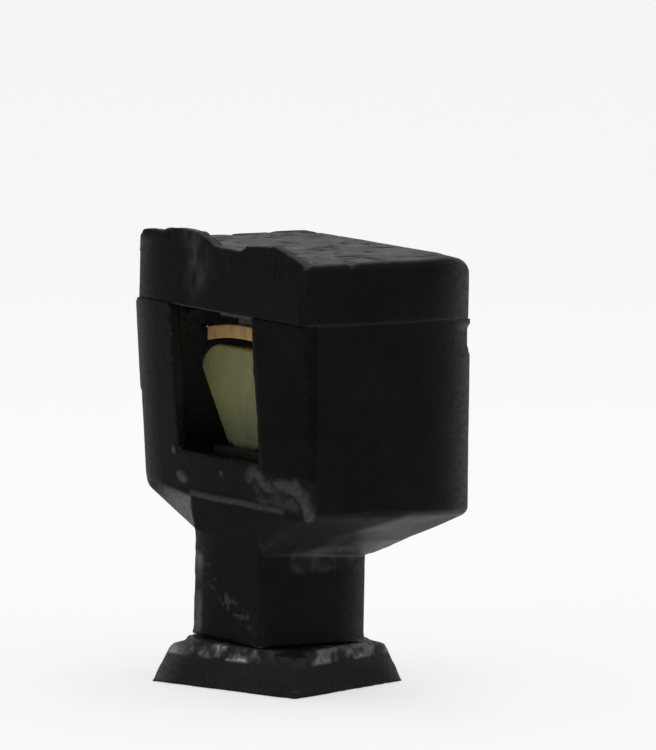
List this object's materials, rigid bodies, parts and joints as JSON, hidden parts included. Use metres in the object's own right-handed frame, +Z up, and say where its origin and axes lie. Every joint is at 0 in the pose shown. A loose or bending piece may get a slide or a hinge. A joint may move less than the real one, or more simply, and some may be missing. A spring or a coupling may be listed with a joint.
{
  "type": "model railway signal lantern",
  "caption": "Small black signal lantern with a lit front window, on a short square post that turns on a flared square foot.",
  "frame": {"origin": "on the lantern's turning axis, on the plane that the foot stands on", "axes": "+Z up along the turning axis; X and Y square with the foot; -Y is the front. At rest the lantern is turned 20 degrees clockwise from the foot, seen from above."},
  "size_m": [0.0118, 0.0097, 0.015],
  "materials": {
    "black_plastic": "moulded gloss black, slightly worn",
    "roof_plastic": "gloss black with a wrinkled top",
    "inner_black_plastic": "matt black",
    "guide_plastic": "translucent, pale yellow-green",
    "brass": "turned",
    "spring_steel": "bright",
    "natural_nylon": "natural",
    "board_laminate": "glass-fibre laminate",
    "led_ceramic": "grey-green ceramic",
    "led_phosphor": "yellow resin",
    "copper": "bare copper",
    "solder": "tinned",
    "insulating_film": "amber film"
  },
  "bodies": {
    "foot": {"foot": "black_plastic", "base_plate": "inner_black_plastic", "foot_bush": "brass", "thrust_washer": "spring_steel", "stop_pin": "spring_steel"},
    "lantern": {"lantern_housing": "black_plastic", "roof_cap": "roof_plastic", "light_guide": "guide_plastic", "guide_holder": "inner_black_plastic", "led_board": "board_laminate", "led_body": "led_ceramic", "led_lens": "led_phosphor", "contact_leaf_left": "copper", "contact_leaf_right": "copper", "solder_stub_left": "solder", "solder_stub_right": "solder", "lead_left": "copper", "lead_right": "copper", "lead_insulator": "insulating_film", "spindle": "brass", "drive_disc": "natural_nylon", "retaining_clip": "spring_steel", "drive_dog": "spring_steel"}
  },
  "joints": [
    {"name": "lantern_turn", "type": "hinge", "parent": "foot", "child": "lantern", "pos_m": [0, 0, 0.0015], "axis": [0, 0, 1], "range_deg": [-70, 20]}
  ]
}
